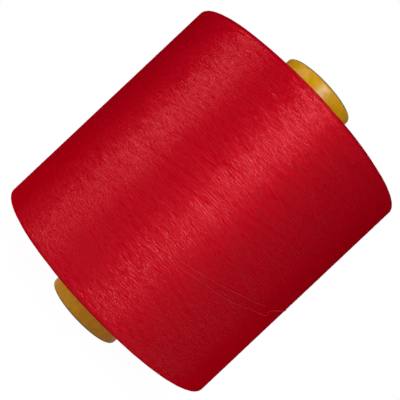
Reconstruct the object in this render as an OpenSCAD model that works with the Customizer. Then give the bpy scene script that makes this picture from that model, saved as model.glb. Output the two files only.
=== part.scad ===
// Cylindrical cross-wound package of thread on a spiral paper tube.
// The tube stands upright on the lower end: +Z runs along the bore, and the
// origin is the centre of the lower rim. -Y is the front, +X is the right side.

/* [Paper tube] */
// Length of the paper tube, rim to rim
tube_length = 290; // [270:1:330]
// Bore of the paper tube
tube_bore = 69; // [54:0.5:90]
// Thickness of the smooth liner ply, the innermost strip
liner_t = 0.4; // [0.2:0.05:0.8]
// Thickness of one ply of grey board
board_t = 0.57; // [0.4:0.01:0.9]
// Thickness of the coloured, glazed cover ply
cover_t = 0.25; // [0.15:0.05:0.6]
// Radius that the outer edge of each rim is rolled and burnished to
nose_r = 2.9; // [1:0.1:3]

/* [Catch slit] */
// Distance from the foot of the winding down to the catch slit
slit_to_winding = 8; // [4:0.5:10]
// Width of the slit where it opens on the cover ply
slit_width = 0.9; // [0.7:0.1:1.6]
// Depth of the slit below the cover ply's surface
slit_depth = 1.1; // [0.9:0.1:1.5]
// Angle that the slit reaches round the back of the tube
slit_arc = 70; // [50:5:120]

/* [Winding] */
// Diameter over the last wraps of thread
package_d = 241; // [180:1:260]
// Length of the winding where it sits on the tube
winding_length = 250; // [220:1:256]
// Slope of the end faces, in degrees off square
face_taper = 8; // [3:0.25:9]
// Radius of the shoulder between an end face and the side
shoulder_r = 3.9; // [2:0.1:8]

/* [Thread] */
// Thickness of the thread as it lies pressed flat in the winding
thread_t = 0.45; // [0.3:0.05:0.6]
// Width of the thread as it lies pressed flat in the winding
thread_w = 1.2; // [0.8:0.1:2]
// Diameter of the thread where nothing presses it
loose_d = 0.36; // [0.2:0.02:0.4]
// Turns round the package in one stroke from shoulder to shoulder
turns_per_stroke = 1.45; // [1.25:0.05:1.65]

/* [Hidden] */

board_plies = 5;
bore_r = tube_bore / 2;
board_r = bore_r + liner_t;
cover_r = board_r + board_plies * board_t;
tube_r = cover_r + cover_t;
tube_wall = tube_r - bore_r;

// The thread is swept in flat steps, so each step sags inside its true circle.
wrap_step = 9;
package_r = package_d / 2;
step_sag = package_r * (1 - cos(wrap_step / 2));
lay_step = thread_t + step_sag;
winding_r = package_r - 2 * lay_step;

winding_foot = (tube_length - winding_length) / 2;
slit_height = winding_foot - slit_to_winding;
face_rise = (winding_r - tube_r) * tan(face_taper);
shoulder_z = winding_foot + face_rise;
side_z = shoulder_z + shoulder_r * tan((90 - face_taper) / 2);
mid_z = tube_length / 2;
half_stroke = mid_z - side_z;

// Strokes of thread drawn in the last wraps, in pairs of one up and one down
wrap_pairs = 10;
// Share of a stroke left off at the first and last turn-round
wrap_cut = 0.04;
// How sharply a stroke turns round: nearer to 1 is sharper
turn_sharpness = 0.995;
// How quickly a turn-round climbs from one layer to the other
layer_sharpness = 6;
// Running clearance round a loose thread
thread_gap = 0.05;
over = 1;

shape_fn = 180;
rim_fn = 96;
shoulder_steps = 8;
thread_fn = 6;
pressed_fn = 4;

// ---- paper tube ----

// The tube's wall as one ring, with both outer edges rolled over.
module tube_section() {
    straight = tube_length - 2 * nose_r;
    translate([bore_r, 0]) square([tube_wall - nose_r, tube_length]);
    translate([bore_r, nose_r]) square([tube_wall, straight]);
    for (z = [nose_r, tube_length - nose_r]) {
        translate([tube_r - nose_r, z]) circle(r = nose_r, $fn = rim_fn);
    }
}

// One ply: the part of the wall between two radii, so each rim shows its edge.
module ply(inner, thickness) {
    intersection() {
        rotate_extrude($fn = shape_fn) tube_section();
        rotate_extrude($fn = shape_fn) {
            translate([inner, -over]) square([thickness, tube_length + 2 * over]);
        }
    }
}

// The knife cut that catches the thread's first end: a V, at the back.
module catch_slit() {
    bottom = tube_r - slit_depth;
    mouth = tube_r + over;
    half = slit_width / 2 * (mouth - bottom) / slit_depth;
    translate([0, 0, slit_height]) {
        rotate([0, 0, 90 - slit_arc / 2]) {
            rotate_extrude(angle = slit_arc, $fn = shape_fn) {
                polygon([[bottom, 0], [mouth, -half], [mouth, half]]);
            }
        }
    }
}

module liner_ply() {
    color("#b9a98c") ply(bore_r, liner_t);
}

// Board plies are numbered from the liner outwards.
module board_ply(number) {
    color("#a08c6c") difference() {
        ply(board_r + (number - 1) * board_t, board_t);
        catch_slit();
    }
}

module cover_ply() {
    color("#c8980f") difference() {
        ply(cover_r, cover_t);
        catch_slit();
    }
}

// ---- thread ----

// A point at an angle round the tube, a distance from its axis and a height.
function on_round(angle, radius, z) = [radius * cos(angle), radius * sin(angle), z];

// One ring of a thread's section. half is [across the wrap, out from the axis],
// and lean is the thread's own slope, which the ring is tipped by.
function section(angle, radius, z, half, sides, lean = 0) = [
    for (k = [0 : sides - 1])
        let (
            turn = k * 360 / sides,
            across = half[0] * cos(turn),
            back = across * sin(lean) * [sin(angle), -cos(angle), 0]
        )
        on_round(angle, radius + half[1] * sin(turn), z + across * cos(lean)) + back
];

// Joins rings of points, each with the same number of sides, into one solid.
module sweep(rings) {
    sides = len(rings[0]);
    last = len(rings) - 1;
    points = [for (ring = rings) each ring];
    skin = [
        for (i = [0 : last - 1], k = [0 : sides - 1])
            let (a = i * sides + k, b = i * sides + (k + 1) % sides)
            each [[a, b, b + sides], [a, b + sides, a + sides]]
    ];
    first_cap = [for (k = [sides - 1 : -1 : 0]) k];
    last_cap = [for (k = [0 : sides - 1]) last * sides + k];
    polyhedron(points = points, faces = concat(skin, [first_cap, last_cap]));
}

function clamp(value) = max(-1, min(1, value));

// The lay of a cross winding: height and layer at a number of strokes.
// Rising strokes lie in the lower layer and falling strokes cross over them.
function lay_z(stroke) =
    mid_z + half_stroke * asin(turn_sharpness * sin(180 * stroke)) / asin(turn_sharpness);
function lay_layer(stroke) = 0.5 - 0.5 * clamp(layer_sharpness * cos(180 * stroke));
function lay_radius(stroke) =
    winding_r + step_sag + thread_t / 2 + lay_step * lay_layer(stroke);

module last_wraps() {
    first = -0.5 + wrap_cut;
    strokes = 2 * wrap_pairs - 2 * wrap_cut;
    rings = ceil(strokes * turns_per_stroke * 360 / wrap_step);
    half = [thread_w / 2, thread_t / 2];
    color("#b01428") sweep([
        for (i = [0 : rings])
            let (stroke = first + strokes * i / rings)
            section(
                360 * turns_per_stroke * stroke,
                lay_radius(stroke),
                lay_z(stroke),
                half,
                pressed_fn
            )
    ]);
}

// The winding: sloped end faces, rolled shoulders and a straight side.
module winding() {
    facing = 90 - face_taper;
    // The shoulder's arc starts where it leaves the end face and ends on the side.
    centre = [winding_r - shoulder_r, side_z];
    arc = [
        for (i = [0 : shoulder_steps])
            let (turn = -facing + facing * i / shoulder_steps)
            centre + shoulder_r * [cos(turn), sin(turn)]
    ];
    lower = concat([[tube_r, winding_foot]], arc);
    upper = [for (i = [len(lower) - 1 : -1 : 0]) [lower[i][0], tube_length - lower[i][1]]];
    color("#9c0e20") rotate_extrude($fn = shape_fn) polygon(concat(lower, upper));
}

// The first end of the thread: caught in the slit, then up to the winding.
module start_tail() {
    half = [loose_d / 2, loose_d / 2];
    caught = tube_r - slit_depth / 3;
    laid = tube_r + loose_d / 2 + thread_gap;
    held = slit_arc / 2;
    foot = winding_foot - loose_d / 2 - thread_gap;
    // Angles that the thread takes to leave the slit, and to climb to the winding
    leave = 9;
    climb = 24;
    steps = 16;
    color("#b01428") sweep([
        for (i = [0 : steps])
            let (
                turn = (held + climb) * i / steps,
                out = clamp(max(0, (turn - held + leave) / leave)),
                up = max(0, turn - held) / climb
            )
            section(
                90 + turn,
                caught + (laid - caught) * out,
                slit_height + (foot - slit_height) * up,
                half,
                thread_fn
            )
    ]);
}

// A smooth path through a route's points: t counts points from the first one.
function smooth_path(route, t) =
    let (
        last = len(route) - 1,
        i = min(floor(t), last - 1),
        u = t - i,
        a = route[max(i - 1, 0)],
        b = route[i],
        c = route[i + 1],
        d = route[min(i + 2, last)]
    )
    (2 * b + u * (c - a + u * (2 * a - 5 * b + 4 * c - d + u * (3 * b - a - 3 * c + d)))) / 2;

// A loose thread on the side. Its route is a list of [degrees to the right of the
// front, height over mid-height as a share of half a stroke].
module loose_thread(route) {
    rings_per_point = 4;
    nearby = 0.1;
    last = len(route) - 1;
    laid = package_r + step_sag + loose_d / 2 + thread_gap;
    half = [loose_d / 2, loose_d / 2];
    sweep([
        for (i = [0 : rings_per_point * last])
            let (
                t = i / rings_per_point,
                place = smooth_path(route, t),
                ahead = smooth_path(route, min(t + nearby, last)),
                behind = smooth_path(route, max(t - nearby, 0)),
                run = (ahead[0] - behind[0]) * PI / 180 * laid,
                rise = (ahead[1] - behind[1]) * half_stroke
            )
            section(
                place[0] - 90,
                laid,
                mid_z + half_stroke * place[1],
                half,
                thread_fn,
                atan2(rise, run)
            )
    ]);
}

// The last wrap, which has gone slack and lies over the others.
module loose_wrap() {
    route = [
        [-24, -0.508], [-4, -0.431], [10, -0.368], [18, -0.333], [26.5, -0.293],
        [33, -0.26], [40, -0.229], [46, -0.204], [51, -0.181]
    ];
    color("#c01c30") loose_thread(route);
}

// The free end: it wanders under the loose wrap, hooks upwards and runs on.
module end_tail() {
    route = [
        [-18, -0.522], [-2, -0.463], [10, -0.41], [17, -0.38], [25, -0.353],
        [30, -0.341], [36, -0.32], [40, -0.297], [44.5, -0.276], [48, -0.258],
        [54.5, -0.24], [57.5, -0.225], [57, -0.19], [61.5, -0.151], [68.5, -0.122],
        [76, -0.104], [84, -0.118]
    ];
    color("#c01c30") loose_thread(route);
}

liner_ply();
board_ply(1);  // board_ply_1
board_ply(2);  // board_ply_2
board_ply(3);  // board_ply_3
board_ply(4);  // board_ply_4
board_ply(5);  // board_ply_5
cover_ply();
start_tail();
winding();
last_wraps();
loose_wrap();
end_tail();
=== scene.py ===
# %% [markdown]
# # Dressing a cross-wound package of thread
#
# The object is a cylindrical package of filament thread, wound crosswise on a
# spiral paper tube that stands out at both ends. The frame holds its solids at
# their real size. This script gives them their looks. The paper tube keeps its
# solids and gets materials, and the plain winding is replaced by real strands:
# two crossing sets of helices on the side, and short arcs on the end faces.

# %% Load the frame
import math

import bmesh
import bpy
import numpy as np
from mathutils import Matrix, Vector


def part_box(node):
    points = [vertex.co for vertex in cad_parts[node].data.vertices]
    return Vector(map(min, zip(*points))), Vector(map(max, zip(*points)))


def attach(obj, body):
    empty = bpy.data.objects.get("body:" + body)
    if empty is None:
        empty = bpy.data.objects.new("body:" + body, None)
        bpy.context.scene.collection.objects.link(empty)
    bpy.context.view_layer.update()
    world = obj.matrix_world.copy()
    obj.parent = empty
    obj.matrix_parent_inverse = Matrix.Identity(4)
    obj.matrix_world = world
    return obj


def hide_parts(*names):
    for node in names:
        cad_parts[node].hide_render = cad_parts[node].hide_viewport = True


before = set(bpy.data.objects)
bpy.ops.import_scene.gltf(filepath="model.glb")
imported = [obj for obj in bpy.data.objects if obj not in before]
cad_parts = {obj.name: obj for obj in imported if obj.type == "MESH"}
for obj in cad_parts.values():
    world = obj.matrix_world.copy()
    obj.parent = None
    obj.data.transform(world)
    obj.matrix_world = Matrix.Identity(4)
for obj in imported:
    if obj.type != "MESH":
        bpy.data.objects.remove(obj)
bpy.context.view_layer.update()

MM = 0.001

# %% [markdown]
# ## Sizes
#
# A strand can only lie well on the package if it knows the package's outline, so
# the radii and heights are read from the frame. Only what a box can't say, such
# as the slope of the end faces, is written here again. The outline is one line:
# up the side, round the shoulder and in along the end face to the tube.

# %% Read the package's sizes
PACKAGE_RADIUS = max(abs(float(v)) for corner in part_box("last_wraps") for v in corner[:2])
TUBE_RADIUS = float(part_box("cover_ply")[1][0])
TUBE_TOP = float(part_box("liner_ply")[1][2])
FOOT_Z = float(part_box("winding")[0][2])
MID_Z = TUBE_TOP / 2
FACE_TAPER = math.radians(8)
SHOULDER_RADIUS = 3.9 * MM

# The strands' middle line lies this far under the diameter over the wraps.
LAY_DEPTH = 0.3 * MM
SIDE_RADIUS = PACKAGE_RADIUS - LAY_DEPTH
SHOULDER_TURN = math.pi / 2 - FACE_TAPER
face_rise = (SIDE_RADIUS - TUBE_RADIUS) * math.tan(FACE_TAPER)
SIDE_RUN = MID_Z - FOOT_Z - face_rise - SHOULDER_RADIUS * math.tan(SHOULDER_TURN / 2)
SHOULDER_RUN = SHOULDER_RADIUS * SHOULDER_TURN
face_start_radius = SIDE_RADIUS - SHOULDER_RADIUS + SHOULDER_RADIUS * math.cos(SHOULDER_TURN)
FACE_RUN = (face_start_radius - TUBE_RADIUS) / math.cos(FACE_TAPER)
for stretch, length in (("side", 2 * SIDE_RUN), ("shoulder", SHOULDER_RUN), ("face", FACE_RUN)):
    print(f"{stretch}: {length / MM:.1f} mm along the outline")

# %% [markdown]
# ## A map of the winding
#
# Every strand is first spun as a plain helix round the axis, which Blender's spin
# operator does well. Then its points are moved onto the real outline. One function
# does that for all strands, so nothing can miss the shoulder. It takes an angle
# round the tube, the distance run along the outline from mid-height, and two
# small offsets that give the strand its width and thickness.

# %% Place points on the winding
def on_winding(angle, run, lift, out):
    """Points on the winding. lift goes along the outline, out away from the surface."""
    half = np.where(run < 0, -1.0, 1.0)
    along = np.abs(run)
    turn = np.clip((along - SIDE_RUN) / SHOULDER_RADIUS, 0, SHOULDER_TURN)
    inward = np.maximum(along - SIDE_RUN - SHOULDER_RUN, 0) + lift * half
    reach = SHOULDER_RADIUS + out
    radius = SIDE_RADIUS - SHOULDER_RADIUS + reach * np.cos(turn) - inward * np.sin(turn)
    height = reach * np.sin(turn) + inward * np.cos(turn)
    z = MID_Z + half * (np.minimum(along, SIDE_RUN) + height)
    return np.stack([radius * np.cos(angle), radius * np.sin(angle), z], axis=-1)


# %% [markdown]
# ## Small helpers
#
# A finished piece is an object at the origin with its place in its mesh. It rides
# on the only body, and hides the CAD solids that it stands for. Colours are written
# as sRGB hex, because that is how dyes and papers are matched, and are turned
# linear in one place. One function adds every shader node, so a material reads as
# a list of what its nodes take in.

# %% Make a finished piece from a mesh
def finish_piece(name, mesh, material, *nodes):
    """Links a mesh as a piece that rides on the root body and replaces these nodes."""
    mesh.materials.clear()
    mesh.materials.append(material)
    mesh.polygons.foreach_set("use_smooth", np.ones(len(mesh.polygons), dtype=bool))
    mesh.update()
    piece = bpy.data.objects.new(name, mesh)
    bpy.context.scene.collection.objects.link(piece)
    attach(piece, "root")
    if nodes:
        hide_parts(*nodes)
    triangles = sum(len(face.vertices) - 2 for face in mesh.polygons)
    print(f"{name}: {triangles} triangles")
    return piece


# %% Turn sRGB hex colours to linear
def linear(hex_colour):
    """A linear RGBA colour from sRGB hex."""
    parts = [int(hex_colour[i : i + 2], 16) / 255 for i in (1, 3, 5)]
    return [c / 12.92 if c <= 0.04045 else ((c + 0.055) / 1.055) ** 2.4 for c in parts] + [1.0]


# %% Add a node with its settings and links
def add_node(tree, kind, inputs=None, stops=(), **settings):
    """Adds a shader node.

    inputs maps a socket to a value or to another node's output. stops are a colour
    ramp's, as (position, hex colour), in order.
    """
    node = tree.nodes.new("ShaderNode" + kind)
    for name, value in settings.items():
        setattr(node, name, value)
    for socket, value in (inputs or {}).items():
        if isinstance(value, bpy.types.NodeSocket):
            tree.links.new(value, node.inputs[socket])
        else:
            node.inputs[socket].default_value = value
    for number, (position, hex_colour) in enumerate(stops):
        elements = node.color_ramp.elements
        # A new ramp has a first and a last stop, so only those between are added.
        if 0 < number < len(stops) - 1:
            elements.new(position)
        elements[number].position = position
        elements[number].color = linear(hex_colour)
    return node


# %% Start a material
def new_material(name):
    """A material with an empty node tree, and that tree."""
    material = bpy.data.materials.new(name)
    material.use_nodes = True
    material.node_tree.nodes.clear()
    return material, material.node_tree


# %% [markdown]
# ## Dyed polyester filament
#
# The thread is spun-dyed polyester: smooth, part-clear filaments with the colour
# inside them. Light that goes in comes out again as a red glint, so a bright band
# stays red where a painted surface would turn white. A share of metallic
# reflection stands in for that glint, since it takes the base colour. The little
# white light that comes straight off the filaments' skins is a thin coat over it.
#
# No two strands lie alike, so two attributes steer the material. A tone says how
# light a strand is painted: its own random tone, with painted shade where it is
# sunk, dull or at its edges and painted light along its ridge. "lay" holds the run
# along the strand and its number. Noise that reads "lay" stays on its own strand
# and changes slowly along it, so glints come out as short dashes that follow the
# wraps.

# %% Thread colours
# Painted shade and light: the thread's colour, from a strand that is sunk in shade
# under its neighbours to one in full light
THREAD_BRIGHT = "#ba031a"
THREAD_SHADE_STOPS = [(0.0, "#b10116"), (0.12, "#b60118"), (0.5, "#b80219"), (1.0, THREAD_BRIGHT)]
OPENED_PALE = "#da3440"

# %% Noise along each strand
# Noise keeps its value for about this length of strand, with finer swings on top.
NOISE_LENGTH = 16 * MM
NOISE_DETAIL = 3.0
# Step in the noise from one strand to the next
STRAND_STEP = 7.31


def strand_noise(tree):
    """Noise that follows each strand: lay holds (run along the strand, strand number)."""
    lay = add_node(tree, "Attribute", attribute_name="lay").outputs["Vector"]
    scale = (1 / NOISE_LENGTH, STRAND_STEP, 1.0)
    stretch = add_node(tree, "Mapping", {"Vector": lay, "Scale": scale}).outputs["Vector"]
    return add_node(
        tree, "TexNoise", {"Vector": stretch, "Scale": 1.0, "Detail": NOISE_DETAIL}
    ).outputs["Fac"]


# %% Tip a strand's normals
# How far a strand tips as it climbs over its neighbours, as a slope, at the lowest and
# highest values that the noise mostly takes
STRAND_TILT = 0.145
NOISE_LOW, NOISE_HIGH = 0.25, 0.75


def tipped_normal(tree, noise):
    """The surface normal, tipped along the wraps by noise, as strands tip in a winding."""
    place = add_node(tree, "TexCoord").outputs["Object"]
    axes = add_node(tree, "SeparateXYZ", {0: place})
    back = add_node(tree, "Math", {0: axes.outputs["Y"], 1: -1.0}, operation="MULTIPLY")
    round_way = add_node(tree, "CombineXYZ", {0: back.outputs[0], 1: axes.outputs["X"]})
    unit = add_node(tree, "VectorMath", {0: round_way.outputs[0]}, operation="NORMALIZE")
    swing = add_node(
        tree,
        "MapRange",
        {
            "Value": noise,
            "From Min": NOISE_LOW,
            "From Max": NOISE_HIGH,
            "To Min": -STRAND_TILT,
            "To Max": STRAND_TILT,
        },
        clamp=False,
    )
    push = add_node(
        tree, "VectorMath", {0: unit.outputs[0], "Scale": swing.outputs[0]}, operation="SCALE"
    )
    normal = add_node(tree, "NewGeometry").outputs["Normal"]
    tipped = add_node(tree, "VectorMath", {0: normal, 1: push.outputs[0]}, operation="ADD")
    return add_node(
        tree, "VectorMath", {0: tipped.outputs[0]}, operation="NORMALIZE"
    ).outputs[0]


# %% Share of skin glint
# On dull and on bright strands
SKIN_LOW, SKIN_HIGH = 0.0, 0.38
# Where it fades, from 0 for a surface that faces the eye to 1 for one seen edge on
FADE_START, FADE_END = 0.25, 0.55


def skin_share(tree, tone_and_shade):
    """Share of skin glint: by strand, and gone at the package's edge, where fibres hide it."""
    facing = add_node(tree, "LayerWeight", {"Blend": 0.5}).outputs["Facing"]
    fade = add_node(
        tree,
        "MapRange",
        {
            "Value": facing,
            "From Min": FADE_START,
            "From Max": FADE_END,
            "To Min": 1.0,
            "To Max": 0.0,
        },
    )
    share = add_node(tree, "MapRange", {"Value": tone_and_shade, "To Min": SKIN_LOW, "To Max": SKIN_HIGH})
    return add_node(
        tree,
        "Math",
        {0: share.outputs["Result"], 1: fade.outputs["Result"]},
        operation="MULTIPLY",
    ).outputs[0]


# %% Dyed filament
POLYESTER_IOR = 1.58
# Share of coloured glint, its colour at a grazing angle, and how rough it is on
# bright and on dull strands
GLINT_SHARE = 0.45
GLINT_EDGE = "#ff3f55"
ROUGH_LOW, ROUGH_HIGH = 0.42, 0.56
SKIN_ROUGH = 0.25
# How much a strand's tone changes over the whole range of its noise
NOISE_SHADE = 1.4


def dyed_filament():
    """Spun-dyed polyester filament, drawn and wound: silky, with a coloured glint."""
    material, tree = new_material("dyed_polyester_filament")
    # Tone with painted shade and light, which sets the colour, gloss and skin share
    tone_and_shade = add_node(tree, "Attribute", attribute_name="tone_and_shade").outputs["Fac"]
    noise = strand_noise(tree)
    shade = add_node(
        tree, "Math", {0: noise, 1: NOISE_SHADE, 2: -NOISE_SHADE / 2}, operation="MULTIPLY_ADD"
    )
    mixed = add_node(tree, "Math", {0: tone_and_shade, 1: shade.outputs[0]}, operation="ADD", use_clamp=True)
    colour = add_node(tree, "ValToRGB", {"Fac": mixed.outputs[0]}, stops=THREAD_SHADE_STOPS)
    gloss = add_node(
        tree, "MapRange", {"Value": mixed.outputs[0], "To Min": ROUGH_HIGH, "To Max": ROUGH_LOW}
    )
    normal = tipped_normal(tree, noise)
    surface = add_node(
        tree,
        "BsdfPrincipled",
        {
            "Base Color": colour.outputs["Color"],
            "Roughness": gloss.outputs["Result"],
            "Normal": normal,
            "Metallic": GLINT_SHARE,
            "Specular Tint": linear(GLINT_EDGE),
            "Specular IOR Level": 0.0,
            "IOR": POLYESTER_IOR,
            "Coat Weight": skin_share(tree, mixed.outputs[0]),
            "Coat Roughness": SKIN_ROUGH,
            "Coat Normal": normal,
        },
    )
    add_node(tree, "OutputMaterial", {"Surface": surface.outputs["BSDF"]})
    return material


thread_material = dyed_filament()
print("thread finish:", thread_material.name)


# %% Opened filament
def opened_filament():
    """The same filament in a slack thread: it opens, and its loose fibres scatter more light."""
    material, tree = new_material("opened_polyester_filament")
    fibres = [(0.3, THREAD_BRIGHT), (0.7, OPENED_PALE)]
    colour = add_node(tree, "ValToRGB", {"Fac": strand_noise(tree)}, stops=fibres)
    surface = add_node(
        tree,
        "BsdfPrincipled",
        {
            "Base Color": colour.outputs["Color"],
            "Roughness": 0.5,
            "Metallic": GLINT_SHARE / 2,
            "Specular IOR Level": 0.1,
            "Sheen Weight": 0.15,
            "Sheen Roughness": 0.4,
            "Sheen Tint": linear(OPENED_PALE),
        },
    )
    add_node(tree, "OutputMaterial", {"Surface": surface.outputs["BSDF"]})
    return material


opened_material = opened_filament()
print("slack thread finish:", opened_material.name)

# %% [markdown]
# ## What every point of thread knows
#
# The material needs each point's tone, which holds painted shade and light as well
# as a random tone, its run along its strand and its strand's number. They are
# stored on the mesh as attributes by one function, so every piece of thread,
# strand or loose end, can wear the same material.

# %% Note how the thread lies
def note_lay(mesh, tone_and_shade, along=None, number=None):
    """Stores each point's tone with its painted shade and light, its run along its strand and its
    strand's number.
    """
    count = len(mesh.vertices)
    lay = np.zeros((count, 3), dtype=np.float32)
    if along is not None:
        lay[:, 0] = along
        lay[:, 1] = number
    shade = mesh.attributes.new("tone_and_shade", "FLOAT", "POINT")
    shade.data.foreach_set("value", np.clip(tone_and_shade, 0, 1).astype(np.float32))
    mesh.attributes.new("lay", "FLOAT_VECTOR", "POINT").data.foreach_set("vector", lay.ravel())


# %% [markdown]
# ## The bed under the strands
#
# Under the outer wraps lie kilometres of thread that nobody sees, so they are one
# lathed solid, a little smaller than the outline. Spinning an outline round the
# axis is how the package itself grows, so the spin operator is the natural tool.

# %% Spin the bed
BED_DEPTH = 0.12 * MM
BED_STEPS = 192
# Painted shade: the bed is seen only in the gaps between strands, so it is painted darker than a
# strand.
BED_SHADE_TONE = 0.3
SHOULDER_POINTS = 8


def thread_bed():
    """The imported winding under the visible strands."""
    arc = np.linspace(SIDE_RUN, SIDE_RUN + SHOULDER_RUN, SHOULDER_POINTS)
    upper = np.concatenate([arc, [SIDE_RUN + SHOULDER_RUN + FACE_RUN]])
    runs = np.concatenate([-upper[::-1], upper])
    outline = on_winding(np.zeros_like(runs), runs, 0 * runs, 0 * runs - BED_DEPTH)
    bm = bmesh.new()
    line = [bm.verts.new(point) for point in outline]
    edges = [bm.edges.new(pair) for pair in zip(line, line[1:] + line[:1])]
    bmesh.ops.spin(
        bm,
        geom=line + edges,
        cent=(0, 0, 0),
        axis=(0, 0, 1),
        angle=2 * math.pi,
        steps=BED_STEPS,
        use_merge=True,
    )
    bmesh.ops.remove_doubles(bm, verts=bm.verts, dist=0.001 * MM)
    bmesh.ops.recalc_face_normals(bm, faces=bm.faces)
    mesh = bpy.data.meshes.new("thread_bed")
    bm.to_mesh(mesh)
    bm.free()
    # Painted shade in the gaps between strands
    note_lay(mesh, np.full(len(mesh.vertices), BED_SHADE_TONE))
    return finish_piece("thread_bed", mesh, thread_material, "winding")


thread_bed()

# %% [markdown]
# ## Strokes of thread on the side
#
# A winder's guide carries the thread from shoulder to shoulder and back while the
# package turns, so the side is covered by two crossing sets of helices. Each
# stroke makes 1.45 turns. The real thread is about 0.2 mm wide; it is drawn nearly
# five times as wide, so that the wraps still show. One small diamond section per
# stroke is spun into a helix, and its four sides keep hundreds of strokes light.
# Its normals are set by hand: a filament thread packs flat, so a strand is shaded
# as a low ridge, whose upper flank catches light from above.

# %% Spin strands from sections
THREAD_WIDTH = 0.95 * MM
THREAD_THICKNESS = 0.14 * MM
# A point that lies farther than this from the strand's middle is on one of its edges.
EDGE_LIFT = THREAD_WIDTH / 4
# Strands that are spun at once, because one spin of hundreds is slow
BATCH = 40


def section(bm, layers, number, angle, height):
    """Adds the flat diamond section of one strand and notes its offsets."""
    shape = (
        Matrix.Rotation(angle, 4, "Z")
        @ Matrix.Translation((SIDE_RADIUS, 0, height))
        @ Matrix.Rotation(math.pi / 2, 4, "X")
        @ Matrix.Diagonal((THREAD_THICKNESS / 2, THREAD_WIDTH / 2, 1, 1))
    )
    ring = bmesh.ops.create_circle(bm, segments=4, radius=1, matrix=shape)["verts"]
    for vert in ring:
        vert[layers["number"]] = number
        vert[layers["lift"]] = vert.co.z - height
        vert[layers["out"]] = vert.co.xy.length - SIDE_RADIUS


def spin_strands(angles, foot, rise, turn, steps):
    """One mesh of strands, each spun from a section at its angle and the foot's height."""
    whole = bmesh.new()
    for first in range(0, len(angles), BATCH):
        bm = bmesh.new()
        layers = {key: bm.verts.layers.float.new(key) for key in ("number", "lift", "out")}
        for number in range(first, min(first + BATCH, len(angles))):
            section(bm, layers, number, angles[number], foot)
        bmesh.ops.spin(
            bm,
            geom=bm.verts[:] + bm.edges[:],
            cent=(0, 0, 0),
            axis=(0, 0, 1),
            dvec=(0, 0, rise / steps),
            angle=turn,
            steps=steps,
        )
        ends = [edge for edge in bm.edges if edge.is_boundary]
        bmesh.ops.holes_fill(bm, edges=ends, sides=4)
        bmesh.ops.recalc_face_normals(bm, faces=bm.faces)
        batch = bpy.data.meshes.new("batch")
        bm.to_mesh(batch)
        bm.free()
        whole.from_mesh(batch)
        bpy.data.meshes.remove(batch)
    mesh = bpy.data.meshes.new("strands")
    whole.to_mesh(mesh)
    whole.free()
    return mesh


# %% Read a mesh's points as arrays
def read_strands(mesh):
    """A strand mesh's points, and each point's strand number, lift and out."""
    count = len(mesh.vertices)
    points = np.empty(count * 3)
    mesh.vertices.foreach_get("co", points)
    values = {}
    for key in ("number", "lift", "out"):
        values[key] = np.empty(count)
        mesh.attributes[key].data.foreach_get("value", values[key])
        mesh.attributes.remove(mesh.attributes[key])
    number = np.rint(values["number"]).astype(int)
    return points.reshape(-1, 3), number, values["lift"], values["out"]


# %% Lay strands on the winding
# Slope of a strand's flanks as it is shaded
SHADED_ROUND = 0.46
# Painted shade and light: what a strand's edges, which its neighbours shade,
# and its ridge add to its tone
EDGE_PAINTED_SHADE, RIDGE_PAINTED_LIGHT = -0.2, 0.1


def ridge_painted_shade(lift):
    """Painted shade and light: a strand is lighter along its middle and darker at its edges, where
    its neighbours shade it.
    """
    return np.where(np.abs(lift) > EDGE_LIFT, EDGE_PAINTED_SHADE, RIDGE_PAINTED_LIGHT)


def lay_strands(mesh, angle, run, lift, out, level):
    """Moves a strand mesh's points onto the winding and gives them a low ridge's normals."""
    points = on_winding(angle, run, lift, out + level)
    mesh.vertices.foreach_set("co", points.astype(np.float32).ravel())
    seat = on_winding(angle, run, 0 * lift, 0 * out)
    outward = on_winding(angle, run, 0 * lift, 0 * out + MM) - seat
    sideways = on_winding(angle, run, 0 * lift + MM, 0 * out) - seat
    below = np.where(out < -THREAD_THICKNESS / 4, -1.0, 1.0)[:, None]
    side = np.where(np.abs(lift) > EDGE_LIFT, np.sign(lift), 0.0)[:, None]
    normals = outward * below + SHADED_ROUND * side * sideways
    normals /= np.linalg.norm(normals, axis=1)[:, None]
    mesh.polygons.foreach_set("use_smooth", np.ones(len(mesh.polygons), dtype=bool))
    mesh.normals_split_custom_set_from_vertices(normals.astype(np.float32))


# %% [markdown]
# A material that is baked onto a flat texture needs every mesh laid out flat.
# Strands that are laid out at random would lose their fine noise there.
# So each strand gets a row of its own, and each round of short arcs shares one. Its
# run goes along the row, and its four sides lie next to each other across it, with
# most of the room for the two sides that are seen.

# %% Unroll the strands into rows
# Places across a row: one edge, the ridge, the other edge, the underside and the
# first edge again
ROW_STOPS = np.array([0.06, 0.38, 0.7, 0.82, 0.94])
# What is left free at both ends of a strand, as a share of its length in the map
END_GAP = 0.01
# Name of the flat map
MAP_NAME = "OFBake"


def unroll(mesh, lift, out, share, row, rows, column=0, columns=1):
    """Maps a strand mesh: share of its length along u, and its sides across its own row."""
    edge = np.where(lift < 0, 0, 2)
    place = np.where(np.abs(lift) > EDGE_LIFT, edge, np.where(out > 0, 1, 3))
    corners = np.empty(len(mesh.loops), dtype=np.int32)
    mesh.loops.foreach_get("vertex_index", corners)
    stop = place[corners].reshape(-1, 4)
    # The underside's second half meets the first edge, and takes its stop at the far end.
    closing = (stop == 3).any(axis=1) & ~(stop == 1).any(axis=1)
    stop = np.where((stop == 0) & closing[:, None], 4, stop).ravel()
    along = END_GAP + (1 - 2 * END_GAP) * np.clip(share, 0, 1)
    u = ((column + along) / columns)[corners]
    v = (row[corners] + ROW_STOPS[stop]) / rows
    layer = mesh.uv_layers.new(name=MAP_NAME)
    layer.uv.foreach_set("vector", np.stack([u, v], axis=-1).astype(np.float32).ravel())


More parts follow.
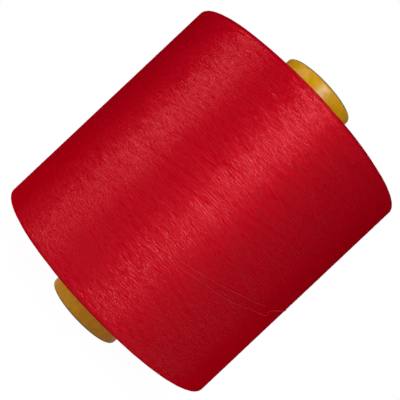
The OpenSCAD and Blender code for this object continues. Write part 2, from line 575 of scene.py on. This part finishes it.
# %% Let strands wander
def waver(rng, number, along, waves):
    """A slow random swing for each strand. waves are (height, wavelength)."""
    total = np.zeros(len(along))
    for height, wavelength in waves:
        phase = rng.uniform(0, 2 * math.pi, number.max() + 1)
        total += height * np.sin(2 * math.pi * along / wavelength + phase[number])
    return total


# %% [markdown]
# The guide can't turn round in an instant, so a stroke eases into each shoulder.
# An arcsine of a slightly damped sine gives just that: a zigzag with soft peaks.
# Each stroke also ends a little higher or lower than the last, which keeps real
# packages from growing a hard ridge at the shoulder. A slow random rise and fall
# lets each strand dip under its neighbours and come up again, and a few strands
# are painted darker, as painted shade, so they show as fine dark lines of shadow.

# %% Lay the strokes on the side
TURNS_PER_STROKE = 1.45
STROKES = 320
STEPS_PER_STROKE = 104
STROKES_PER_PIECE = 160
STROKE_SEED = 11
# 1 would give a stroke hard corners at the shoulders, and a little less rounds them.
TURN_SHARPNESS = 0.997
# How far a stroke strays from its place in the row, as a share of the spacing
PLACE_SPREAD = 0.45
# How far over the shoulder the strokes reach, and how much that varies
REACH = 2.2 * MM
REACH_SPREAD = 0.9 * MM
# A strand's rise and fall and its sideways drift: (size, wavelength along the height)
RISE_WAVES = ((0.014 * MM, 17 * MM), (0.018 * MM, 8.1 * MM), (0.014 * MM, 3.9 * MM))
DRIFT_WAVES = ((0.4 * MM, 60 * MM), (0.15 * MM, 23 * MM))
# How much strands differ in level and in tone
LEVEL_SPREAD = 0.02 * MM
MID_TONE = 0.5
TONE_SPREAD = 0.16
# Painted shade: the share of strands painted darker, as fine lines of shadow
# between the wraps, and how much darker they are
SHADOW_LINE_SHARE = 0.03
SHADOW_LINE_DROP = 0.5
# Which set lies on top changes from patch to patch. A wave is (waves round the tube,
# height of one wave), and each starts this many radians after the last.
PATCH_RISE = 0.006 * MM
PATCH_WAVES = ((7, 61 * MM), (-12, 43 * MM), (17, -83 * MM), (-5, 29 * MM), (23, 37 * MM))
PATCH_STEP = 1.7


def patches(angle, run):
    """A smooth field over the side, 1 where the rising set lies on top and -1 where it's under."""
    total = np.zeros(len(angle))
    for number, (round_waves, wave_height) in enumerate(PATCH_WAVES):
        rise = 2 * math.pi * run / wave_height
        total += np.sin(round_waves * angle + rise + PATCH_STEP * number)
    return np.tanh(total)


def side_strokes(name, direction, part, nodes=()):
    """One part of a set of strokes: direction 1 climbs to the right, -1 to the left."""
    rng = np.random.default_rng([STROKE_SEED + direction, part])
    count = STROKES_PER_PIECE
    parts = STROKES // count
    places = np.arange(count) * parts + part + rng.uniform(-PLACE_SPREAD, PLACE_SPREAD, count)
    angles = 2 * math.pi * places / STROKES
    turn = direction * TURNS_PER_STROKE * 2 * math.pi
    # Spun from height -1 to 1, so that a point's height says how far along the stroke it is
    mesh = spin_strands(angles, foot=-1.0, rise=2.0, turn=turn, steps=STEPS_PER_STROKE)
    points, number, lift, out = read_strands(mesh)
    angle = np.arctan2(points[:, 1], points[:, 0])
    stroke = np.clip(points[:, 2] - lift, -1, 1)
    eased = np.arcsin(TURN_SHARPNESS * np.sin(stroke * math.pi / 2)) / math.asin(TURN_SHARPNESS)
    reach = SIDE_RUN + REACH + rng.uniform(-1, 1, count)[number] * REACH_SPREAD
    run = eased * reach + waver(rng, number, stroke * SIDE_RUN, DRIFT_WAVES)
    level = waver(rng, number, stroke * SIDE_RUN, RISE_WAVES)
    level += rng.normal(0, LEVEL_SPREAD, count)[number]
    level += direction * PATCH_RISE * patches(angle, run)
    # A random tone for each strand, with painted shade at its edges and painted light on its ridge
    tone_and_shade = MID_TONE + rng.normal(0, TONE_SPREAD, count)[number] + ridge_painted_shade(lift)
    # Painted shade: a few strands are darkened into fine lines of shadow.
    tone_and_shade -= SHADOW_LINE_DROP * (rng.random(count) < SHADOW_LINE_SHARE)[number]
    note_lay(mesh, tone_and_shade, (stroke + 1) * math.pi * TURNS_PER_STROKE * SIDE_RADIUS, number)
    unroll(mesh, lift, out, (stroke + 1) / 2, number, count)
    lay_strands(mesh, angle, run, lift, out, level)
    mesh.name = name
    return finish_piece(name, mesh, thread_material, *nodes)


side_strokes("rising_strokes_1", direction=1, part=0, nodes=["last_wraps"])
side_strokes("rising_strokes_2", direction=1, part=1)
side_strokes("falling_strokes_1", direction=-1, part=0)
side_strokes("falling_strokes_2", direction=-1, part=1)

# %% [markdown]
# ## The end faces
#
# An end face is built of turn-rounds: thousands of short arcs, each the peak of
# one stroke, stacked outwards as the package grew. Seen from above they read as
# fine, nearly round lines. Each arc here is spun about its own small angle and
# bowed, so that its middle shows and its two ends sink into the face.

# %% Lay the turn-rounds on the end faces
FACE_PITCH = 0.8 * MM
ARCS_PER_ROUND = 11
ARC_TURN = math.radians(46)
ARC_STEPS = 7
# How far an arc's middle stands over its ends, and the share of that which is sunk
ARC_BOW = 0.75 * MM
ARC_SUNK = 0.95
# How much arcs differ in angle, in radians, in place, as a share of the pitch, and in level
ARC_ANGLE_SPREAD = 0.2
ARC_PLACE_SPREAD = 0.4
ARC_LEVEL_SPREAD = 0.06 * MM
# The arcs begin this far round the shoulder.
FACE_START_TURN = math.radians(28)
FACE_START = SIDE_RUN + SHOULDER_RADIUS * FACE_START_TURN
# Keeps an arc's first points at 0, where rounding could make them a full turn
ROUNDING = 0.01


def face_turns(name, half, seed):
    """The arcs on one end face. half is 1 for the upper face and -1 for the lower."""
    rng = np.random.default_rng(seed)
    rounds = int((SIDE_RUN + SHOULDER_RUN + FACE_RUN - FACE_START) / FACE_PITCH)
    count = rounds * ARCS_PER_ROUND
    place = np.repeat(np.arange(rounds), ARCS_PER_ROUND)
    angles = rng.uniform(-math.pi, math.pi, rounds)[place]
    angles += 2 * math.pi * np.tile(np.arange(ARCS_PER_ROUND), rounds) / ARCS_PER_ROUND
    angles += rng.uniform(-ARC_ANGLE_SPREAD, ARC_ANGLE_SPREAD, count)
    mesh = spin_strands(angles, foot=0.0, rise=0.0, turn=ARC_TURN, steps=ARC_STEPS)
    points, number, lift, out = read_strands(mesh)
    angle = np.arctan2(points[:, 1], points[:, 0])
    along = np.mod(angle - angles[number] + ROUNDING, 2 * math.pi) - ROUNDING
    bow = 1 - (2 * along / ARC_TURN - 1) ** 2
    stray = rng.uniform(-ARC_PLACE_SPREAD, ARC_PLACE_SPREAD, count)
    run = FACE_START + (place + stray)[number] * FACE_PITCH
    level = ARC_BOW * (bow - ARC_SUNK) + rng.normal(0, ARC_LEVEL_SPREAD, count)[number]
    # A random tone for each arc, with painted shade at its edges and painted light on its ridge
    tone_and_shade = MID_TONE + rng.normal(0, TONE_SPREAD, count)[number] + ridge_painted_shade(lift)
    note_lay(mesh, tone_and_shade, along * SIDE_RADIUS, number)
    row, column = number // ARCS_PER_ROUND, number % ARCS_PER_ROUND
    unroll(mesh, lift, out, along / ARC_TURN, row, rounds, column, ARCS_PER_ROUND)
    lay_strands(mesh, angle, half * run, lift, out, level)
    mesh.name = name
    return finish_piece(name, mesh, thread_material)


face_turns("upper_face_turns", half=1, seed=21)
face_turns("lower_face_turns", half=-1, seed=22)

# %% [markdown]
# ## Loose thread
#
# The last wrap lies slack beside the free end. The free end follows the last
# stroke and then wanders in small waves, because nothing holds it. The first end
# is caught in the slit of the tube and climbs to the winding. They are single
# threads on a path, so each is a round-bevelled curve made into a mesh. The slack
# ones wear the opened finish: without tension the filaments spread, and scatter
# more light. Fine loops of filament stand proud all over, as on any such thread.

# %% Make threads from paths
# Painted light: a single thread lies in full light, so its tone is painted near the brightest.
LOOSE_LIT_TONE = 0.85


def thread_from_paths(name, paths, radius, material, *nodes):
    """One mesh of round threads, each along a smooth path of points."""
    curve = bpy.data.curves.new(name, "CURVE")
    curve.dimensions = "3D"
    curve.bevel_depth = radius
    curve.bevel_resolution = 1
    curve.use_fill_caps = True
    curve.resolution_u = 3
    for path in paths:
        spline = curve.splines.new("NURBS")
        spline.points.add(len(path) - 1)
        spline.points.foreach_set("co", np.c_[path, np.ones(len(path))].ravel())
        spline.use_endpoint_u = True
        spline.order_u = 4
    source = bpy.data.objects.new(name + "_path", curve)
    bpy.context.scene.collection.objects.link(source)
    seen = source.evaluated_get(bpy.context.evaluated_depsgraph_get())
    mesh = bpy.data.meshes.new_from_object(seen)
    bpy.data.objects.remove(source)
    mesh.name = name
    points = np.empty(len(mesh.vertices) * 3)
    mesh.vertices.foreach_get("co", points)
    x, y, _ = points.reshape(-1, 3).T
    # Painted light: the thread's tone is set near the brightest
    note_lay(mesh, np.full(len(x), LOOSE_LIT_TONE), np.arctan2(y, x) * SIDE_RADIUS, 0)
    return finish_piece(name, mesh, material, *nodes)


# %% Lay the loose wrap and the free end
# Degrees to the right of the front, and height over mid-height as a share of half the side
LOOSE_WRAP = [
    (-24, -0.508), (-4, -0.431), (10, -0.368), (18, -0.333), (26.5, -0.293),
    (33, -0.26), (40, -0.229), (46, -0.204), (51, -0.181),
]
FREE_END = [
    (-18, -0.522), (-2, -0.463), (10, -0.41), (17, -0.38), (25, -0.353),
    (30, -0.341), (36, -0.32), (40, -0.297), (44.5, -0.276), (48, -0.258),
    (54.5, -0.24), (57.5, -0.225), (57, -0.19), (61.5, -0.151), (68.5, -0.122),
    (76, -0.104), (84, -0.118),
]
LOOSE_RADIUS = 0.26 * MM
# A loose thread starts at the foot's level, and takes this many degrees to come out.
LOOSE_FOOT = -0.25 * MM
LOOSE_LEVEL = 0.42 * MM
LOOSE_RISE = 46
POINTS_PER_STEP = 4


def smooth_path(route):
    """A Catmull-Rom line through every point of a route, as an array of points."""
    points = np.array(route, dtype=float)
    last = len(points) - 1
    place = np.arange(POINTS_PER_STEP * last + 1) / POINTS_PER_STEP
    step = np.minimum(place.astype(int), last - 1)
    share = (place - step)[:, None]
    before, start, end, after = (points[np.clip(step + k, 0, last)] for k in (-1, 0, 1, 2))
    bend = 2 * before - 5 * start + 4 * end - after
    twist = 3 * start - before - 3 * end + after
    return (2 * start + share * (end - before + share * (bend + share * twist))) / 2


def loose_thread(name, route, node):
    """A single thread that lies loose on the side of the package."""
    path = smooth_path(route)
    run = path[:, 1] * SIDE_RUN
    free = np.clip((path[:, 0] - path[0, 0]) / LOOSE_RISE, 0, 1)
    level = LOOSE_FOOT + (LOOSE_LEVEL - LOOSE_FOOT) * free
    points = on_winding(np.radians(path[:, 0] - 90), run, 0 * run, level)
    return thread_from_paths(name, [points], LOOSE_RADIUS, opened_material, node)


loose_thread("loose_wrap_thread", LOOSE_WRAP, "loose_wrap")
loose_thread("free_end_thread", FREE_END, "end_tail")

# %% Lay the first end
START_RADIUS = 0.18 * MM
START_POINTS = 14
SLIT_Z = 12 * MM
# The slit holds the thread over this angle, and it climbs to the winding over the next.
SLIT_HOLD = math.radians(35)
CLIMB = math.radians(24)
# Levels against the tube's outside, in the slit and free of it
HELD_LEVEL = -0.35 * MM
FREE_LEVEL = 0.2 * MM
# The thread leaves the slit over this angle, in radians.
LEAVE_TURN = 0.16


def first_end():
    """The first end: held in the slit at the back, then up to the winding's foot."""
    turn = np.linspace(0, SLIT_HOLD + CLIMB, START_POINTS)
    climbed = np.clip((turn - SLIT_HOLD) / CLIMB, 0, 1)
    freed = np.clip((turn - SLIT_HOLD + LEAVE_TURN) / LEAVE_TURN, 0, 1)
    radius = TUBE_RADIUS + HELD_LEVEL + freed * (FREE_LEVEL - HELD_LEVEL)
    z = SLIT_Z + climbed * (FOOT_Z - SLIT_Z)
    path = np.stack([-radius * np.sin(turn), radius * np.cos(turn), z], axis=-1)
    return thread_from_paths("first_end", [path], START_RADIUS, thread_material, "start_tail")


first_end()

# %% Scatter loops of filament
LOOP_COUNT = 90
LOOP_POINTS = 6
LOOP_RADIUS = 0.05 * MM
LOOP_SEED = 31
# Least and most length and height of a loop, and how far it leans, in radians
LOOP_LENGTH = (1.5 * MM, 5 * MM)
LOOP_HEIGHT = (0.3 * MM, 1.3 * MM)
LOOP_LEAN = 0.35


def stray_loops():
    """Fine loops of single filament that stand a little off the side."""
    rng = np.random.default_rng(LOOP_SEED)
    share = np.linspace(0, 1, LOOP_POINTS)
    paths = []
    for _ in range(LOOP_COUNT):
        angle = rng.uniform(-math.pi, math.pi)
        run = rng.uniform(-1, 1) * SIDE_RUN
        along = rng.uniform(*LOOP_LENGTH) * (share - 0.5)
        lean = rng.uniform(-LOOP_LEAN, LOOP_LEAN)
        angles = angle + along * math.cos(lean) / SIDE_RADIUS
        runs = run + along * math.sin(lean)
        height = rng.uniform(*LOOP_HEIGHT) * np.sin(math.pi * share)
        paths.append(on_winding(angles, runs, 0 * runs, height))
    return thread_from_paths("stray_loops", paths, LOOP_RADIUS, thread_material)


stray_loops()

# %% [markdown]
# ## The paper tube
#
# The tube is wound from strips of board and covered with a dyed, glazed paper.
# Its solids are already right, rolled rims included, so they only get materials.
# The cover has a soft gloss, faint clouds from the paper's fibres, and one
# helical butt seam where the strip's edges meet. The bore and the board edges are
# dull, brownish paper with fibre specks.

# %% Seam round the tube
# Share of a turn that a seam is turned by. It keeps the cover's seam off the front
# at both ends.
SEAM_START = 0.33


def helix_height(tree, place, pitch):
    """Height along the axis less the helix's own rise, in pitches, as 0 to 1."""
    x, y, z = add_node(tree, "SeparateXYZ", {0: place}).outputs
    angle = add_node(tree, "Math", {0: y, 1: x}, operation="ARCTAN2")
    turns = add_node(tree, "Math", {0: angle.outputs[0], 1: 2 * math.pi}, operation="DIVIDE")
    rise = add_node(tree, "Math", {0: z, 1: pitch}, operation="DIVIDE")
    phase = add_node(tree, "Math", {0: rise.outputs[0], 1: turns.outputs[0]}, operation="SUBTRACT")
    turned = add_node(tree, "Math", {0: phase.outputs[0], 1: SEAM_START}, operation="ADD")
    return add_node(tree, "Math", {0: turned.outputs[0]}, operation="FRACT").outputs[0]


# %% Cover paper
COVER_STOPS = [(0.4, "#cf9700"), (0.65, "#d8a200"), (0.9, "#e0ae02")]
SEAM_COLOUR = "#8a6208"
# The strip is about 130 mm wide, so its seam climbs this much in a turn.
SEAM_PITCH = 160 * MM
# Share of the pitch: 0.4 mm
SEAM_SHARE = 0.0025
# Sizes of the clouds and of the fibres, which are drawn coarse so that they show
CLOUD_SIZE = 4.55 * MM
FIBRE_SIZE = 0.714 * MM
# How much the fibres count beside the clouds
FIBRE_SHARE = 0.3
# Height of the papers' relief at full strength
PAPER_RELIEF = 0.1 * MM
PAPER_IOR = 1.5


def glazed_cover():
    """Dyed, glazed tube paper: even colour, soft gloss, faint fibre clouds."""
    material, tree = new_material("glazed_cover_paper")
    place = add_node(tree, "TexCoord").outputs["Object"]
    clouds = add_node(tree, "TexNoise", {"Vector": place, "Scale": 1 / CLOUD_SIZE, "Detail": 5.0})
    fibres = add_node(tree, "TexNoise", {"Vector": place, "Scale": 1 / FIBRE_SIZE, "Detail": 3.0})
    blend = add_node(
        tree,
        "Math",
        {0: fibres.outputs["Fac"], 1: FIBRE_SHARE, 2: clouds.outputs["Fac"]},
        operation="MULTIPLY_ADD",
    ).outputs[0]
    colour = add_node(tree, "ValToRGB", {"Fac": blend}, stops=COVER_STOPS)
    seam = add_node(
        tree,
        "Math",
        {0: helix_height(tree, place, SEAM_PITCH), 1: SEAM_SHARE},
        operation="LESS_THAN",
    )
    seamed = add_node(
        tree,
        "Mix",
        {"Factor": seam.outputs[0], "A": colour.outputs["Color"], "B": linear(SEAM_COLOUR)},
        data_type="RGBA",
    )
    gloss = add_node(tree, "MapRange", {"Value": blend, "To Min": 0.38, "To Max": 0.3})
    relief = add_node(
        tree, "Bump", {"Height": blend, "Strength": 0.04, "Distance": PAPER_RELIEF}
    )
    surface = add_node(
        tree,
        "BsdfPrincipled",
        {
            "Base Color": seamed.outputs["Result"],
            "Roughness": gloss.outputs["Result"],
            "Normal": relief.outputs["Normal"],
            "Specular IOR Level": 0.32,
            "IOR": PAPER_IOR,
        },
    )
    add_node(tree, "OutputMaterial", {"Surface": surface.outputs["BSDF"]})
    return material


# %% Board and liner paper
SPECK_SIZE = 1.11 * MM
# The gap between a strip's edges, as a share of the pitch: 0.6 to 0.7 mm
GAP_SHARE = 0.005


def plain_paper(name, dark, pale, pitch):
    """Unbleached tube paper: dull, with fibre specks and a helical strip edge."""
    material, tree = new_material(name)
    place = add_node(tree, "TexCoord").outputs["Object"]
    specks = add_node(
        tree, "TexNoise", {"Vector": place, "Scale": 1 / SPECK_SIZE, "Detail": 6.0}
    ).outputs["Fac"]
    colour = add_node(tree, "ValToRGB", {"Fac": specks}, stops=[(0.3, dark), (0.7, pale)])
    gap = add_node(
        tree, "Math", {0: helix_height(tree, place, pitch), 1: GAP_SHARE}, operation="LESS_THAN"
    )
    seamed = add_node(
        tree,
        "Mix",
        {"Factor": gap.outputs[0], "A": colour.outputs["Color"], "B": linear(dark)},
        data_type="RGBA",
    )
    gloss = add_node(tree, "MapRange", {"Value": specks, "To Min": 0.9, "To Max": 0.75})
    relief = add_node(
        tree, "Bump", {"Height": specks, "Strength": 0.3, "Distance": PAPER_RELIEF}
    )
    surface = add_node(
        tree,
        "BsdfPrincipled",
        {
            "Base Color": seamed.outputs["Result"],
            "Roughness": gloss.outputs["Result"],
            "Normal": relief.outputs["Normal"],
            "IOR": PAPER_IOR,
        },
    )
    add_node(tree, "OutputMaterial", {"Surface": surface.outputs["BSDF"]})
    return material


# %% Dress the tube's solids
board = plain_paper("grey_tube_board", "#6e5838", "#9a8058", 130 * MM)
board_light = plain_paper("light_tube_board", "#8a7048", "#b0966a", 140 * MM)
finishes = {"liner_ply": plain_paper("smooth_liner_paper", "#8f7650", "#b89c70", 120 * MM)}
finishes["cover_ply"] = glazed_cover()
for ply in range(1, 6):
    finishes[f"board_ply_{ply}"] = board if ply % 2 else board_light
for node, material in finishes.items():
    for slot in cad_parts[node].material_slots:
        slot.material = material
print("dressed:", sorted(finishes))

# %% [markdown]
# ## Light, floor and camera
#
# Wraps that run round a cylinder draw each lamp out into a tall bright band, as on
# a hank of silk. The front lamp is a low, wide strip above the camera, so that its
# light rakes over the strands and shows each one. The left lamp is larger and
# gives a softer band. A very broad lamp fills the right side, and weaker lamps
# light the top and the back. The backdrop is the world's own white, which only the
# camera sees, and the floor glows a little, as a lit white table does.

# %% World
WHITE = linear("#ffffff")
FILL = 0.08


def studio_world():
    """White to the camera, and a dim even fill for everything else."""
    world = bpy.data.worlds.new("studio")
    world.use_nodes = True
    world.node_tree.nodes.clear()
    tree = world.node_tree
    seen = add_node(tree, "LightPath").outputs["Is Camera Ray"]
    fill = add_node(tree, "Background", {"Color": WHITE, "Strength": FILL})
    white = add_node(tree, "Background", {"Color": WHITE, "Strength": 1.0})
    mix = add_node(tree, "MixShader", {0: seen, 1: fill.outputs[0], 2: white.outputs[0]})
    add_node(tree, "OutputWorld", {"Surface": mix.outputs[0]})
    bpy.context.scene.world = world


studio_world()
print("strength of the fill:", FILL)

# %% Floor
FLOOR_HALF = 3.0
FLOOR_COLOUR = "#f3f3f3"
# Share of its own light: as the camera sees it, and as it lights the object from below
FLOOR_GLOW = 0.92
FLOOR_LIGHT = 0.26
# It glows a little more far away: distance in metres and strength, near and far
GLOW_NEAR, GLOW_FAR = 0.3, 1.2
NEAR_STRENGTH, FAR_STRENGTH = 1.06, 1.1


def white_floor():
    """A pale floor that takes the object's shadow softly."""
    bm = bmesh.new()
    bmesh.ops.create_grid(bm, x_segments=1, y_segments=1, size=FLOOR_HALF)
    mesh = bpy.data.meshes.new("floor")
    bm.to_mesh(mesh)
    bm.free()
    floor = bpy.data.objects.new("floor", mesh)
    bpy.context.scene.collection.objects.link(floor)
    material, tree = new_material("white_floor")
    seen = add_node(tree, "LightPath").outputs["Is Camera Ray"]
    share = add_node(
        tree, "MapRange", {"Value": seen, "To Min": FLOOR_LIGHT, "To Max": FLOOR_GLOW}
    )
    matte = add_node(tree, "BsdfDiffuse", {"Color": linear(FLOOR_COLOUR)})
    place = add_node(tree, "TexCoord").outputs["Object"]
    away = add_node(tree, "VectorMath", {0: place}, operation="LENGTH").outputs["Value"]
    bright = add_node(
        tree,
        "MapRange",
        {
            "Value": away,
            "From Min": GLOW_NEAR,
            "From Max": GLOW_FAR,
            "To Min": NEAR_STRENGTH,
            "To Max": FAR_STRENGTH,
        },
    )
    glow = add_node(tree, "Emission", {"Strength": bright.outputs["Result"]})
    mix = add_node(
        tree,
        "MixShader",
        {0: share.outputs["Result"], 1: matte.outputs[0], 2: glow.outputs[0]},
    )
    add_node(tree, "OutputMaterial", {"Surface": mix.outputs[0]})
    mesh.materials.append(material)


white_floor()
print("floor half width in metres:", FLOOR_HALF)

# %% Lamps
def soft_lamp(name, azimuth, distance, height, size, power):
    """A soft box, aimed at the package, in metres and watts.

    azimuth is in degrees to the right of the front.
    """
    data = bpy.data.lights.new(name, "AREA")
    data.shape = "RECTANGLE"
    data.size, data.size_y = size
    data.energy = power
    lamp = bpy.data.objects.new(name, data)
    turn = math.radians(azimuth)
    lamp.location = (distance * math.sin(turn), -distance * math.cos(turn), height)
    tilt = math.atan2(height - MID_Z, distance)
    lamp.rotation_euler = (math.pi / 2 - tilt, 0, turn)
    bpy.context.scene.collection.objects.link(lamp)


soft_lamp("front_lamp", azimuth=8, distance=1.5, height=0.6, size=(0.6, 0.12), power=10.7)
soft_lamp("left_lamp", azimuth=-63, distance=1.5, height=0.36, size=(0.8, 0.4), power=6.6)
soft_lamp("broad_lamp", azimuth=25, distance=2.0, height=1.05, size=(3.0, 2.0), power=5.0)
soft_lamp("top_lamp", azimuth=0, distance=0.0, height=1.9, size=(0.8, 0.8), power=8.0)
soft_lamp("back_lamp", azimuth=180, distance=1.8, height=0.6, size=(0.5, 1.0), power=9.0)
print("lamps:", [lamp.name for lamp in bpy.data.lights])

# %% Camera
# In front, a little to the left and a little under mid-height
CAMERA_DISTANCE = 604.5 * MM
CAMERA_X = -1.5 * MM
CAMERA_DROP = 0.2 * MM
CAMERA_ROLL = math.radians(46.71)
# Lens and sensor in millimetres, as cameras give them
CAMERA_LENS = 60.83
CAMERA_SENSOR = 36


def camera():
    """Level with the middle of the package and rolled, so the package leans right."""
    data = bpy.data.cameras.new("camera")
    data.lens = CAMERA_LENS
    data.sensor_width = CAMERA_SENSOR
    data.clip_start = 10 * MM
    seat = bpy.data.objects.new("camera", data)
    seat.location = (CAMERA_X, -CAMERA_DISTANCE, MID_Z - CAMERA_DROP)
    seat.rotation_euler = (math.pi / 2, -CAMERA_ROLL, 0)
    bpy.context.scene.collection.objects.link(seat)
    bpy.context.scene.camera = seat


camera()
bpy.context.scene.view_settings.view_transform = "Standard"
print(f"camera {CAMERA_DISTANCE / MM:.1f} mm in front, lens {CAMERA_LENS} mm")
